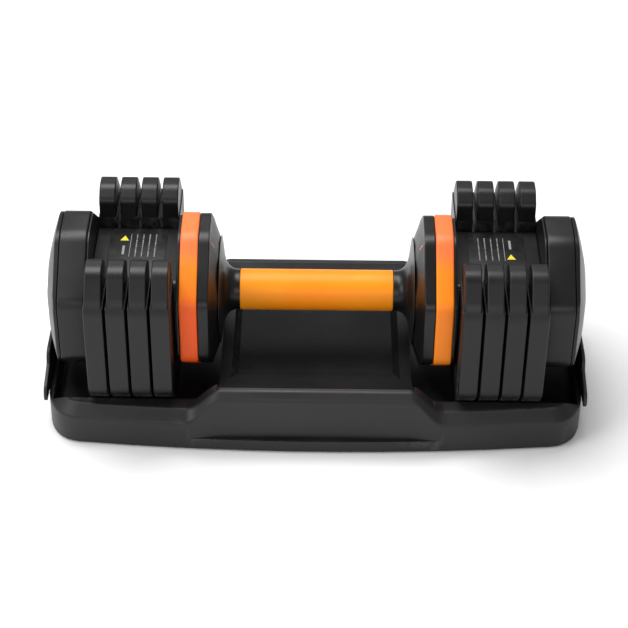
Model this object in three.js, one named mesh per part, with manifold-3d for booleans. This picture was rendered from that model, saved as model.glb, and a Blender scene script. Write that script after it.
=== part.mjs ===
// Adjustable dumbbell standing in its storage tray.
// Millimetres, +Z up. X runs along the grip, the origin is on the table under the middle of the grip.
// The dumbbell lies in the tray; each head carries four U-shaped plates that hang on hooks and cams.

import * as THREE from "three";
import { mergeVertices } from "three/addons/utils/BufferGeometryUtils.js";
import Module from "manifold-3d";

const wasm = await Module();
wasm.setup();

// ---------------------------------------------------------------- driving sizes
// Clearances
const seam = 0.3; // between two pieces that touch
const slideGap = 0.7; // between a plate's slot and the bridge that runs through it
const spinGap = 0.3; // round a turning piece

// Grip and the parts that turn with it
const gripLength = 130;
const gripDiameter = 35;
const neckLength = 16.6;
const neckRimDiameter = 92;
const tubeDiameter = 22;
const shaftDiameter = 16;
const gripEdge = 1;
const neckStep = 0.3; // the neck starts this much thinner than the grip

// Head octagon, shared by the flange, the ring and the end weight
const headWidth = 131;
const headHeight = 134;
const headSideFlat = 57;
const headTopFlat = 36;
const headCorner = 7;
const flatShrink = 0.4; // how much of an inset the octagon's flats lose at each end

// Head thicknesses, from the grip outwards
const flangeSlope = 6.9;
const flangeThickness = 9.2;
const flangeInset = 0.7;
const ringThickness = 14.8;
const backPlateThickness = 2.2;
const backPlateInset = 2.5;
const innerCapThickness = 1.7;
const innerCapInset = 2;
const endWeightThickness = 22.5;
const coverDome = 15;
const coverEdge = 1.5;
const coverInset = 0.6;
const coverReach = 5; // the dome's rim lies this far outside the octagon's top
const shaftRecess = 1; // shaft end to the end weight's face

// Plates
const plateCount = 4;
const plateThickness = 15.9;
const plateLobeThickness = 13.9;
const plateGap = 2.1; // between neighbouring plates
const platePitch = plateThickness + plateGap;
const plateClearance = 2.6; // back plate to the first plate
const plateWidth = 184;
const plateSideFlat = 85.4;
const plateTop = 68; // above the grip axis
const plateOverhang = 13; // how far a plate reaches below the head
const plateDrop = headHeight / 2 + plateOverhang; // below the grip axis
const plateCorner = 9;
const lobeWidth = 37; // across the top corners, from the plate's side
const lobeTopFlat = 17;
const lobeOuterCorner = 7;
const lobeInnerCorner = 4;
const slotCorner = 3;
const mouthDepth = 9;

// Bridge that runs through the plates' slots
const bridgeWidth = 86.6;
const bridgeTop = 34.7;
const camRimRadius = 21;
const camRoom = 6; // the cam's rim to the underside of the bridge
const bridgeBottom = camRimRadius + camRoom;
const bridgeWall = 3;
const bridgeCorner = 6;
const bridgeFootCorner = 2;
const labelLength = 48;
const labelWidth = 76;
const labelThickness = 0.6;

// Cams and hooks
const camRimWall = 3;
const camDiscThickness = 2.5;
const camRimLength = 5.5;
const settingStep = 40; // degrees between two weight settings
const camShift = -0.9; // a cam and its hook sit this far outwards of their plate's middle
const hookWidth = 8;
const hookPost = 2.5;
const hookGap = 1; // between the rim's free edge and the hook's post
const hookTipReach = 5.5;
const hookTipThickness = 4.5;
const hookTipLift = 0.8; // tip's underside above the inside of the cam's rim
const hookBase = { length: 10, width: 20, depth: 3.6, toe: 1 };
const hookRoom = 1; // free space round a hook in the bridge's window
const camClearance = 0.5;

// Bush and nut
const bushWall = 3;
const nutDiameter = 27;
const nutThickness = 7;
const nutRoom = 1; // round the nut in its recess

// Tray
const trayFloorTop = 11.7; // where the plates stand
const trayFloorThickness = 3.2;
const trayFootLift = 1.5;
const trayMargin = 14.5; // a plate's side to the tray's side
const trayWidth = plateWidth + 2 * trayMargin;
const trayBulge = 9.5; // how much wider the tray is at its middle than at its corners
const trayCorner = 36;
const trayCrown = 2; // how much the ends bulge
const trayEndWall = 7.6; // pocket end to the outside
const trayWall = 4;
const lobeRimHeight = 36.6;
const middleRimHeight = 57;
const rimChamfer = 8.8;
const middleChamfer = 6;
const rimFlat = 4;
const lobeRimFlat = 2;
const ledgeHeight = 12;
const ledgeDepth = 4.5;
const middleHalfLength = 78;
const middleRun = 30; // length of the rim's slope down to the head pockets
const pocketClearance = 2;
const troughHalfLength = 65;
const troughHalfWidth = 45;
const troughFloor = 38;
const troughLean = 6; // run of the sloping end of the hand's room
const neckOverlap = 1.1; // how far a pocket reaches in past the neck's rim
const recessRun = 20; // length of the slanted end of the ledge
const recessReach = 5; // how far past the tray's side that slant is drawn
const footDiameter = 20;
const footThickness = 3;
const footCornerOffset = 4;
const bossWall = 2;
const endPlateWidth = 146;
const endPlateTopWidth = 84;
const endPlateBottom = 25;
const endPlateTop = 54;
const endPlateThickness = 3;
const endPlateProud = 0.6; // past the tray's end face
const endPlateShoulder = 42;
const endPlateStep = { wide: 10, narrow: 3, rise: 2 };

// Cutting tools reach this far past the faces they cut
const past = 1;

// ---------------------------------------------------------------- derived places
const gripRadius = gripDiameter / 2;
const tubeRadius = tubeDiameter / 2;
const shaftRadius = shaftDiameter / 2;
const axisHeight = trayFloorTop + seam + plateDrop;

const neckStart = gripLength / 2 + seam;
const neckEnd = gripLength / 2 + neckLength;
const flangeStart = neckEnd + seam;
const flangeEnd = flangeStart + flangeSlope + flangeThickness;
const ringStart = flangeEnd + seam;
const ringEnd = ringStart + ringThickness;
const backPlateStart = ringEnd + seam;
const backPlateEnd = backPlateStart + backPlateThickness;
const firstPlate = backPlateEnd + plateClearance + plateThickness / 2;
const lastPlate = firstPlate + (plateCount - 1) * platePitch;
const bridgeStart = backPlateEnd + seam;
const bridgeEnd = lastPlate + plateThickness / 2;
const innerCapStart = bridgeEnd + seam;
const innerCapEnd = innerCapStart + innerCapThickness;
const endWeightStart = innerCapEnd + seam;
const endWeightEnd = endWeightStart + endWeightThickness;
const coverStart = endWeightEnd + seam;
const headEnd = coverStart + coverDome;

const slotHalfWidth = bridgeWidth / 2 + slideGap;
const slotBottom = -(bridgeBottom + slideGap + seam);
const pocketStart = neckEnd - neckOverlap;
const domeReach = headHeight / 2 + coverReach;
const domeRise = (radius) => coverEdge + (coverDome - coverEdge) * (1 - (radius / domeReach) ** 2);
const pocketEnd = coverStart + domeRise(axisHeight - lobeRimHeight) + 2 * seam;
const trayHalfLength = pocketEnd + trayEndWall;
const farAway = 1000;

const plateCentre = (index) => firstPlate + (index - 1) * platePitch;
const camStart = (index) => plateCentre(index) + camShift - camRimLength - camClearance;
const camEnd = (index) => camStart(index) + camDiscThickness + camRimLength;
const hookPostStart = (index) => camEnd(index) + hookGap;

// ---------------------------------------------------------------- solids
function solid(geometry) {
  const bare = geometry.index ? geometry.toNonIndexed() : geometry.clone();
  bare.deleteAttribute("normal");
  bare.deleteAttribute("uv");
  const merged = mergeVertices(bare, 1e-4);
  return new wasm.Manifold(
    new wasm.Mesh({
      numProp: 3,
      vertProperties: merged.attributes.position.array,
      triVerts: new Uint32Array(merged.index.array),
    }),
  );
}

function geometryOf(made) {
  const mesh = made.getMesh();
  const geometry = new THREE.BufferGeometry();
  geometry.setAttribute("position", new THREE.BufferAttribute(mesh.vertProperties, 3));
  geometry.setIndex(new THREE.BufferAttribute(mesh.triVerts, 1));
  geometry.computeVertexNormals();
  return geometry;
}

// A closed outline through the points, each corner rounded by its own or the common radius.
function outline(points, radius) {
  const shape = new THREE.Shape();
  const corners = points.map(([x, y, own]) => ({ at: new THREE.Vector2(x, y), round: own ?? radius }));
  corners.forEach(({ at, round }, i) => {
    const before = corners.at(i - 1).at;
    const after = corners[(i + 1) % corners.length].at;
    const from = at.clone().add(before.clone().sub(at).setLength(round));
    const to = at.clone().add(after.clone().sub(at).setLength(round));
    if (i === 0) shape.moveTo(from.x, from.y);
    else shape.lineTo(from.x, from.y);
    if (round > 0) shape.quadraticCurveTo(at.x, at.y, to.x, to.y);
  });
  shape.closePath();
  return shape;
}

// The outline is drawn across Y and Z and pulled along X.
function alongX(shape, start, end, curveSegments = 3) {
  const turn = new THREE.Matrix4().makeBasis(
    new THREE.Vector3(0, 1, 0),
    new THREE.Vector3(0, 0, 1),
    new THREE.Vector3(1, 0, 0),
  );
  const pulled = new THREE.ExtrudeGeometry(shape, { depth: end - start, bevelEnabled: false, curveSegments });
  return solid(pulled.applyMatrix4(turn).translate(start, 0, 0));
}

// The outline is drawn across X and Z and pulled along Y.
function alongY(shape, start, end, curveSegments = 4) {
  const pulled = new THREE.ExtrudeGeometry(shape, { depth: end - start, bevelEnabled: false, curveSegments });
  return solid(pulled.rotateX(Math.PI / 2).translate(0, end, 0));
}

// The outline is drawn across X and Y and pulled up along Z, with an optional chamfer at the top.
function alongZ(shape, start, end, { chamfer = 0, curveSegments = 6 } = {}) {
  if (!chamfer) {
    const plain = new THREE.ExtrudeGeometry(shape, { depth: end - start, bevelEnabled: false, curveSegments });
    return solid(plain.translate(0, 0, start));
  }
  const pulled = new THREE.ExtrudeGeometry(shape, {
    depth: end - start,
    bevelThickness: chamfer,
    bevelSize: chamfer,
    bevelOffset: -chamfer,
    bevelSegments: 1,
    curveSegments,
  });
  const tall = solid(pulled.translate(0, 0, start - chamfer));
  return tall.intersect(block([-farAway, farAway], [-farAway, farAway], [start, end]));
}

// A shape turned about the X axis from points of radius and place along X, given as a closed loop.
function turned(profile, segments = 24) {
  const points = profile.map(([radius, along]) => new THREE.Vector2(radius, along));
  points.push(points[0].clone());
  const made = solid(new THREE.LatheGeometry(points, segments).rotateZ(-Math.PI / 2));
  return made.volume() < 0 ? turned([...profile].reverse(), segments) : made;
}

function tube(inner, outer, start, end, segments = 24) {
  return turned([[inner, start], [outer, start], [outer, end], [inner, end]], segments);
}

function rod(radius, start, end, segments = 24) {
  return turned([[0, start], [radius, start], [radius, end], [0, end]], segments);
}

function block([x0, x1], [y0, y1], [z0, z1]) {
  const box = new THREE.BoxGeometry(x1 - x0, y1 - y0, z1 - z0);
  return solid(box.translate((x0 + x1) / 2, (y0 + y1) / 2, (z0 + z1) / 2));
}

const cutAll = (body, cutters) => cutters.reduce((left, cutter) => left.subtract(cutter), body);
const range = (count) => Array.from({ length: count }, (_, i) => i);

// ---------------------------------------------------------------- outlines
function headOctagon(inset = 0) {
  const side = headWidth / 2 - inset;
  const top = headHeight / 2 - inset;
  const sideHalf = headSideFlat / 2 - inset * flatShrink;
  const topHalf = headTopFlat / 2 - inset * flatShrink;
  return outline(
    [
      [side, -sideHalf], [side, sideHalf], [topHalf, top], [-topHalf, top],
      [-side, sideHalf], [-side, -sideHalf], [-topHalf, -top], [topHalf, -top],
    ],
    headCorner,
  );
}

function plateOutline() {
  const side = plateWidth / 2;
  const flat = plateSideFlat / 2;
  const lobeOuter = side - (lobeWidth - lobeTopFlat);
  const lobeInner = lobeOuter - lobeTopFlat;
  const foot = side - (plateDrop - flat);
  const half = [
    [foot, -plateDrop], [side, -flat], [side, flat], [lobeOuter, plateTop, lobeOuterCorner],
    [lobeInner, plateTop, lobeInnerCorner], [slotHalfWidth, plateTop - mouthDepth, lobeInnerCorner],
    [slotHalfWidth, slotBottom, slotCorner],
  ];
  const mirrored = half.map(([y, z, own]) => [-y, z, own]).reverse();
  return outline([...half, ...mirrored], plateCorner);
}

// The tray from above: bulged long sides, round corners and slightly bulged ends.
function trayOutline(inset = 0, length = trayHalfLength) {
  const x = length - inset;
  const y = trayWidth / 2 - trayBulge - inset;
  const r = trayCorner - inset;
  const crown = trayCrown;
  const turn = r * 1.2;
  const shape = new THREE.Shape();
  shape.moveTo(-x + r, -y);
  shape.quadraticCurveTo(0, -y - 2 * trayBulge, x - r, -y);
  shape.quadraticCurveTo(x - crown * 2, -y, x - crown, -y + turn);
  shape.quadraticCurveTo(x + crown, 0, x - crown, y - turn);
  shape.quadraticCurveTo(x - crown * 2, y, x - r, y);
  shape.quadraticCurveTo(0, y + 2 * trayBulge, -x + r, y);
  shape.quadraticCurveTo(-x + crown * 2, y, -x + crown, y - turn);
  shape.quadraticCurveTo(-x - crown, 0, -x + crown, -y + turn);
  shape.quadraticCurveTo(-x + crown * 2, -y, -x + r, -y);
  return shape;
}

// ---------------------------------------------------------------- materials
const finish = (color, roughness, metalness) => new THREE.MeshStandardMaterial({ color, roughness, metalness });
const blackPlastic = () => finish(0x1c1c1e, 0.55, 0);
const blackCoating = () => finish(0x232426, 0.42, 0.1);
const orangeGrip = () => finish(0xff7a14, 0.35, 0.3);
const orangePlastic = () => finish(0xff5a1c, 0.5, 0);
const steel = () => finish(0xa8abb0, 0.35, 0.9);
const rubber = () => finish(0x151515, 0.9, 0);
const labelFilm = () => finish(0x0e0e10, 0.35, 0);

function piece(name, made, material) {
  const mesh = new THREE.Mesh(geometryOf(made), material);
  mesh.name = name;
  return mesh;
}

// ---------------------------------------------------------------- the turning handle
function grip() {
  const edge = gripEdge;
  return turned([
    [tubeRadius + seam, -gripLength / 2], [gripRadius - edge, -gripLength / 2],
    [gripRadius, -gripLength / 2 + edge], [gripRadius, gripLength / 2 - edge],
    [gripRadius - edge, gripLength / 2], [tubeRadius + seam, gripLength / 2],
  ]);
}

// The neck flares from the grip to its rim; each step is a share of the way out and of the length.
const neckFlare = [[0, 0], [0.01, 0.25], [0.06, 0.45], [0.14, 0.6], [0.27, 0.73], [0.45, 0.82], [0.97, 0.96]];

function dialNeck() {
  const first = gripRadius - neckStep;
  const rim = neckRimDiameter / 2;
  const outer = neckFlare.map(([out, along]) => [
    first + out * (rim - first),
    neckStart + along * (neckEnd - neckStart),
  ]);
  return turned([[tubeRadius + seam, neckStart], ...outer, [rim, neckEnd], [tubeRadius + seam, neckEnd]], 32);
}

function selectorTube() {
  return tube(shaftRadius + spinGap, tubeRadius, -(bridgeEnd - bridgeWall), bridgeEnd - bridgeWall);
}

// A disc keyed on the tube with a rim segment that turns under its plate's hook.
function selectorCam(index) {
  const discEnd = camStart(index) + camDiscThickness;
  const disc = tube(tubeRadius + seam, camRimRadius, camStart(index), discEnd, 16);
  const toRadians = (degrees) => THREE.MathUtils.degToRad(degrees - 90);
  const margin = settingStep / 2;
  const from = toRadians(-(plateCount * settingStep + margin));
  const to = toRadians(-(index * settingStep - margin));
  const sector = new THREE.Shape();
  sector.absarc(0, 0, camRimRadius, from, to, false);
  sector.absarc(0, 0, camRimRadius - camRimWall, to, from, true);
  return disc.add(alongX(sector, discEnd - camDiscThickness / 2, camEnd(index), 6));
}

// ---------------------------------------------------------------- a head's fixed pieces
function flangeHousing() {
  const bore = tubeRadius + spinGap + bushWall + seam;
  const edge = flangeStart + flangeSlope;
  const prism = alongX(headOctagon(flangeInset), flangeStart, flangeEnd);
  const reach = Math.hypot(headWidth, headHeight) / 2;
  const rim = neckRimDiameter / 2;
  const cone = turned([
    [0, flangeStart], [rim, flangeStart], [headWidth / 2, edge], [reach, edge + past],
    [reach, flangeEnd + past], [0, flangeEnd + past],
  ], 32);
  return prism.intersect(cone).subtract(rod(bore, flangeStart - past, flangeEnd + past));
}

function flangeBush() {
  return tube(tubeRadius + spinGap, tubeRadius + spinGap + bushWall, flangeStart, flangeEnd);
}

function accentRing() {
  return alongX(headOctagon(), ringStart, ringEnd).subtract(
    rod(tubeRadius + spinGap + bushWall + seam, ringStart - past, ringEnd + past),
  );
}

function backPlate() {
  return alongX(headOctagon(backPlateInset), backPlateStart, backPlateEnd).subtract(
    rod(tubeRadius + spinGap, backPlateStart - past, backPlateEnd + past),
  );
}

function bridgeHousing() {
  const half = bridgeWidth / 2;
  const section = outline(
    [
      [-half, -bridgeBottom, bridgeFootCorner], [half, -bridgeBottom, bridgeFootCorner],
      [half, bridgeTop], [-half, bridgeTop],
    ],
    bridgeCorner,
  );
  const cavity = block(
    [bridgeStart + bridgeWall, bridgeEnd - bridgeWall],
    [-half + bridgeWall, half - bridgeWall],
    [-bridgeBottom + bridgeWall, bridgeTop - bridgeWall],
  );
  const bores = [
    rod(tubeRadius + spinGap, bridgeStart - past, bridgeStart + bridgeWall + past),
    rod(shaftRadius + seam, bridgeEnd - bridgeWall - past, bridgeEnd + past),
  ];
  const windows = range(plateCount).map((i) => {
    const room = hookWidth / 2 + hookRoom;
    return block(
      [hookPostStart(i + 1) - hookTipReach - hookRoom, hookPostStart(i + 1) + hookPost + hookRoom],
      [-room, room],
      [-bridgeBottom - past, -bridgeBottom + bridgeWall + past],
    );
  });
  const labelSeat = block(
    [bridgeLabelStart() - seam, bridgeLabelStart() + labelLength + seam],
    [-labelWidth / 2 - seam, labelWidth / 2 + seam],
    [bridgeTop - labelThickness, bridgeTop + past],
  );
  return cutAll(alongX(section, bridgeStart, bridgeEnd), [cavity, ...bores, ...windows, labelSeat]);
}

function bridgeLabelStart() {
  return (bridgeStart + bridgeEnd - labelLength) / 2;
}

function labelPlate() {
  return block(
    [bridgeLabelStart(), bridgeLabelStart() + labelLength],
    [-labelWidth / 2, labelWidth / 2],
    [bridgeTop - labelThickness + seam / 3, bridgeTop + seam / 3],
  );
}

function innerCapPlate() {
  return alongX(headOctagon(innerCapInset), innerCapStart, innerCapEnd).subtract(
    rod(shaftRadius + seam, innerCapStart - past, innerCapEnd + past),
  );
}

function endWeight() {
  return cutAll(alongX(headOctagon(), endWeightStart, endWeightEnd), [
    rod(shaftRadius + seam, endWeightStart - past, endWeightEnd + past),
    rod(nutDiameter / 2 + nutRoom, endWeightEnd - nutThickness - seam, endWeightEnd + past),
  ]);
}

function shaftNut() {
  const hexagon = outline(
    range(6).map((i) => [
      (nutDiameter / 2) * Math.cos((i * Math.PI) / 3),
      (nutDiameter / 2) * Math.sin((i * Math.PI) / 3),
    ]),
    0,
  );
  return alongX(hexagon, endWeightEnd - nutThickness, endWeightEnd).subtract(
    rod(shaftRadius + seam, endWeightEnd - nutThickness - past, endWeightEnd + past),
  );
}

// The outer face is a shallow dome that dies away towards the octagon's edge.
function endCover() {
  const steps = 5;
  const dome = range(steps + 1).map((i) => {
    const radius = domeReach * (1 - i / steps);
    return [radius, coverStart + domeRise(radius)];
  });
  const wide = [domeReach * 1.3, coverStart + coverEdge];
  const bulk = turned([[0, coverStart], [wide[0], coverStart], wide, ...dome], 32);
  return alongX(headOctagon(coverInset), coverStart, headEnd).intersect(bulk);
}

function handleShaft() {
  return rod(shaftRadius, -(endWeightEnd - shaftRecess), endWeightEnd - shaftRecess);
}

// ---------------------------------------------------------------- plates and hooks
function plate(index) {
  const centre = plateCentre(index);
  const bulk = alongX(plateOutline(), centre - plateThickness / 2, centre + plateThickness / 2);
  const lobe = plateLobeThickness / 2;
  const above = [plateSideFlat / 2, farAway];
  const hookSeat = block(
    [centre - hookBase.length / 2 - seam, centre + hookBase.length / 2 + hookBase.toe + seam],
    [-hookBase.width / 2 - seam, hookBase.width / 2 + seam],
    [slotBottom - hookBase.depth - seam, farAway],
  );
  return cutAll(bulk, [
    block([centre - plateThickness, centre - lobe], [-farAway, farAway], above),
    block([centre + lobe, centre + plateThickness], [-farAway, farAway], above),
    hookSeat,
  ]);
}

// A base let into the plate's slot, a post, and a tip that the cam's rim turns under.
function plateHook(index) {
  const centre = plateCentre(index);
  const rimInside = camRimRadius - camRimWall;
  const tipBottom = -rimInside + hookTipLift;
  const tipTop = tipBottom + hookTipThickness;
  const postStart = hookPostStart(index);
  const half = hookWidth / 2;
  const base = block(
    [centre - hookBase.length / 2, centre + hookBase.length / 2 + hookBase.toe],
    [-hookBase.width / 2, hookBase.width / 2],
    [slotBottom - hookBase.depth, slotBottom],
  );
  const post = block([postStart, postStart + hookPost], [-half, half], [slotBottom - hookBase.depth, tipTop]);
  const tip = block([postStart - hookTipReach, postStart + past], [-half, half], [tipBottom, tipTop]);
  return base.add(post).add(tip);
}

// ---------------------------------------------------------------- tray
function trayShell() {
  const half = trayWidth / 2;
  const lowBody = alongZ(trayOutline(), trayFootLift, lobeRimHeight, { chamfer: rimChamfer });
  const wall = half - ledgeDepth;
  const recess = [-1, 1].map((side) => {
    const shape = new THREE.Shape();
    shape.moveTo(-middleHalfLength - recessRun, side * (half + recessReach));
    shape.lineTo(-middleHalfLength, side * wall);
    shape.lineTo(middleHalfLength, side * wall);
    shape.lineTo(middleHalfLength + recessRun, side * (half + recessReach));
    return alongZ(shape, ledgeHeight, farAway);
  });

  // The middle stands higher; its rim slopes down in an S to the rims round the heads.
  const section = outline(
    [
      [-wall, trayFootLift], [wall, trayFootLift], [wall - 0.5, middleRimHeight - middleChamfer],
      [wall - middleChamfer, middleRimHeight, 2], [-wall + middleChamfer, middleRimHeight, 2],
      [-wall + 0.5, middleRimHeight - middleChamfer],
    ],
    0,
  );
  const end = middleHalfLength + middleRun;
  const rise = new THREE.Shape();
  rise.moveTo(-end, trayFootLift);
  rise.lineTo(end, trayFootLift);
  rise.lineTo(end, lobeRimHeight);
  const mid = end - middleRun / 2;
  rise.bezierCurveTo(mid, lobeRimHeight, mid, middleRimHeight, middleHalfLength, middleRimHeight);
  rise.lineTo(-middleHalfLength, middleRimHeight);
  rise.bezierCurveTo(-mid, middleRimHeight, -mid, lobeRimHeight, -end, lobeRimHeight);
  const middle = alongX(section, -end, end).intersect(alongY(rise, -farAway, farAway, 8));

  const body = cutAll(lowBody, recess).add(middle);
  return cutAll(body, [...pockets(), trough(), ...hollows(), ...endPlateSeats()]).add(feetBosses());
}

// The pocket under each head follows the plates' lower edges.
function pockets() {
  const side = plateWidth / 2 + pocketClearance;
  const flat = axisHeight - plateSideFlat / 2;
  const foot = plateWidth / 2 - (plateDrop - plateSideFlat / 2) + pocketClearance;
  const section = outline(
    [[-foot, trayFloorTop], [foot, trayFloorTop], [side, flat], [side, farAway], [-side, farAway], [-side, flat]],
    0,
  );
  const rimSide = trayWidth / 2 - trayBulge - rimChamfer - lobeRimFlat;
  const narrow = block([-farAway, farAway], [-rimSide, rimSide], [0, farAway]);
  const pocket = alongX(section, pocketStart, pocketEnd).intersect(narrow);
  return [pocket, pocket.mirror([1, 0, 0])];
}

// The hand's room under the grip: a flat floor with sides that slope up to the rim.
function trough() {
  const rimInside = trayWidth / 2 - ledgeDepth - middleChamfer - rimFlat;
  const section = outline(
    [
      [-troughHalfWidth, troughFloor], [troughHalfWidth, troughFloor], [rimInside, middleRimHeight],
      [rimInside, farAway], [-rimInside, farAway], [-rimInside, middleRimHeight],
    ],
    0,
  );
  const reach = pocketStart + past;
  const shelf = axisHeight - neckRimDiameter / 2;
  const long = new THREE.Shape();
  long.moveTo(-troughHalfLength, troughFloor - past);
  long.lineTo(troughHalfLength, troughFloor - past);
  long.lineTo(troughHalfLength + troughLean, shelf);
  long.lineTo(reach, shelf);
  long.lineTo(reach, farAway);
  long.lineTo(-reach, farAway);
  long.lineTo(-reach, shelf);
  long.lineTo(-troughHalfLength - troughLean, shelf);
  return alongX(section, -reach, reach).intersect(alongY(long, -farAway, farAway));
}

// The tray is a moulding, open underneath.
function hollows() {
  const low = trayFloorTop - trayFloorThickness;
  const under = alongZ(trayOutline(trayWall), -past, low);
  const raised = block(
    [-pocketStart + trayWall, pocketStart - trayWall],
    [-troughHalfWidth, troughHalfWidth],
    [0, troughFloor - trayFloorThickness],
  );
  const wall = trayWidth / 2 - ledgeDepth;
  const sides = [-1, 1].map((side) => {
    const outer = side * (wall - trayWall);
    const wedge = outline(
      [
        [side * troughHalfWidth, 0], [outer, 0], [outer, middleRimHeight - middleChamfer - trayWall],
        [side * troughHalfWidth, troughFloor - trayFloorThickness],
      ],
      0,
    );
    return alongX(wedge, -pocketStart + trayWall, pocketStart - trayWall);
  });
  return [under, raised, ...sides];
}

const footPlaces = [[-1, -1], [1, -1], [1, 1], [-1, 1]].map(([x, y]) => [
  x * (trayHalfLength - trayCorner - footCornerOffset),
  y * (trayWidth / 2 - trayBulge - trayCorner / 2),
]);

function upright(radius, [x, y], low, high) {
  const made = new THREE.CylinderGeometry(radius, radius, high - low, 24);
  return solid(made.rotateX(Math.PI / 2).translate(x, y, (low + high) / 2));
}

function feetBosses() {
  const top = trayFloorTop - trayFloorThickness / 2;
  const bosses = footPlaces.map((at) => upright(footDiameter / 2 + bossWall, at, footThickness + seam, top));
  return bosses.reduce((all, boss) => all.add(boss));
}

function foot(at) {
  return upright(footDiameter / 2, at, 0, footThickness);
}

// A finger plate let into each end of the tray and standing above its rim, wide below and narrow above.
function endPlateOutline(grow = 0) {
  const low = endPlateWidth / 2 + grow;
  const high = endPlateTopWidth / 2 + grow;
  const { wide, narrow, rise } = endPlateStep;
  const half = [
    [low, endPlateBottom - grow, 3], [low, lobeRimHeight + grow, 8], [high + wide, endPlateShoulder + grow, 4],
    [high + narrow, endPlateShoulder + grow + rise, 2], [high, endPlateTop + grow, 8],
  ];
  return outline([...half, ...half.map(([y, z, own]) => [-y, z, own]).reverse()], 0);
}

function endPlate() {
  const out = trayHalfLength + endPlateProud;
  return alongX(endPlateOutline(), out - endPlateThickness, out);
}

function endPlateSeats() {
  const back = trayHalfLength + endPlateProud - endPlateThickness - seam;
  const seat = alongX(endPlateOutline(seam), back, farAway);
  return [seat, seat.mirror([1, 0, 0])];
}

// ---------------------------------------------------------------- the assembly
const dumbbell = new THREE.Group();
dumbbell.name = "dumbbell";
dumbbell.position.z = axisHeight;
dumbbell.add(piece("grip_sleeve", grip(), orangeGrip()));
dumbbell.add(piece("selector_tube", selectorTube(), steel()));
dumbbell.add(piece("handle_shaft", handleShaft(), steel()));

for (const side of ["left", "right"]) {
  const head = new THREE.Group();
  head.scale.x = side === "left" ? -1 : 1;
  head.add(piece(`dial_neck_${side}`, dialNeck(), blackPlastic()));
  head.add(piece(`flange_housing_${side}`, flangeHousing(), blackPlastic()));
  head.add(piece(`flange_bush_${side}`, flangeBush(), steel()));
  head.add(piece(`accent_ring_${side}`, accentRing(), orangePlastic()));
  head.add(piece(`back_plate_${side}`, backPlate(), blackCoating()));
  head.add(piece(`bridge_housing_${side}`, bridgeHousing(), blackPlastic()));
  head.add(piece(`label_plate_${side}`, labelPlate(), labelFilm()));
  head.add(piece(`inner_cap_plate_${side}`, innerCapPlate(), blackCoating()));
  head.add(piece(`end_weight_${side}`, endWeight(), blackCoating()));
  head.add(piece(`shaft_nut_${side}`, shaftNut(), steel()));
  head.add(piece(`end_cover_${side}`, endCover(), blackPlastic()));
  for (const number of range(plateCount).map((i) => i + 1)) {
    head.add(piece(`plate_${side}_${number}`, plate(number), blackCoating()));
    head.add(piece(`plate_hook_${side}_${number}`, plateHook(number), steel()));
    head.add(piece(`selector_cam_${side}_${number}`, selectorCam(number), steel()));
  }
  dumbbell.add(head);
}

const tray = new THREE.Group();
tray.name = "tray";
tray.add(piece("tray_shell", trayShell(), blackPlastic()));
footPlaces.forEach((at, i) => tray.add(piece(`tray_foot_${i + 1}`, foot(at), rubber())));
for (const side of ["left", "right"]) {
  const finger = piece(`end_plate_${side}`, endPlate(), blackPlastic());
  finger.scale.x = side === "left" ? -1 : 1;
  tray.add(finger);
}

const assembly = new THREE.Group();
assembly.name = "adjustable_dumbbell";
assembly.add(dumbbell, tray);

export default assembly;
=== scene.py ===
import math

import bmesh
import bpy
import numpy as np
from mathutils import Matrix, Vector


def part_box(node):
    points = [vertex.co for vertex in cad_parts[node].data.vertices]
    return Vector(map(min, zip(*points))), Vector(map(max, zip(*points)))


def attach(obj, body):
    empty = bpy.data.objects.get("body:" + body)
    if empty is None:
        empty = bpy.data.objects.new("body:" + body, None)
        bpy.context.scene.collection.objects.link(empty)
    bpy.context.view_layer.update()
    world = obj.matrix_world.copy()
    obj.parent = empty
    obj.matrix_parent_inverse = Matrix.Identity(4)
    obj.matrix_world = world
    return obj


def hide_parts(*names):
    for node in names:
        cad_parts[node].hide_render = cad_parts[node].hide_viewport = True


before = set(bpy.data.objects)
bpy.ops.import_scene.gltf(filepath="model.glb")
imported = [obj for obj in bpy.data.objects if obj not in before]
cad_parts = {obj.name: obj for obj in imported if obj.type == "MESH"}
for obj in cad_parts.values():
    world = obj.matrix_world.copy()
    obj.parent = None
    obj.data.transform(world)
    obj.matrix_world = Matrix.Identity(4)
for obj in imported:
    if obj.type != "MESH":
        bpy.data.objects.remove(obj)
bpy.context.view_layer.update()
scene = bpy.context.scene
mm = 0.001
boreRoom = 0.3  # round the tube, the shaft and the bushes, in millimetres


# places taken from the frame, in millimetres

def spanOf(node):
    low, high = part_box(node)
    return np.array(low) / mm, np.array(high) / mm


gripLow, gripHigh = spanOf("grip_sleeve")
axisHeight = (gripLow[2] + gripHigh[2]) / 2
gripRadius = (gripHigh[2] - gripLow[2]) / 2
headLow, headHigh = spanOf("accent_ring_right")
headHalf = {"side": headHigh[1], "top": headHigh[2] - axisHeight}
tubeRadius = spanOf("selector_tube")[1][1]
shaftRadius = spanOf("handle_shaft")[1][1]
bushRadius = spanOf("flange_bush_right")[1][1]
labelLow, labelHigh = spanOf("label_plate_right")


# mesh tools: every outline is a loop of (y, z) round the grip's axis, counter-clockwise seen from +X

def roundedLoop(points, radius, steps=6, hold=0.8):
    loop = []
    count = len(points)
    for i, point in enumerate(points):
        here = np.array(point[:2], float)
        before = np.array(points[i - 1][:2], float)
        after = np.array(points[(i + 1) % count][:2], float)
        own = point[2] if len(point) > 2 else radius
        toBefore = (before - here) / np.linalg.norm(before - here)
        toAfter = (after - here) / np.linalg.norm(after - here)
        first, last = here + toBefore * own, here + toAfter * own
        loop.append(first + toBefore * hold)
        for step in range(steps + 1):
            t = step / steps
            loop.append((1 - t) ** 2 * first + 2 * t * (1 - t) * here + t * t * last)
        loop.append(last + toAfter * hold)
    return np.array(loop)


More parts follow.
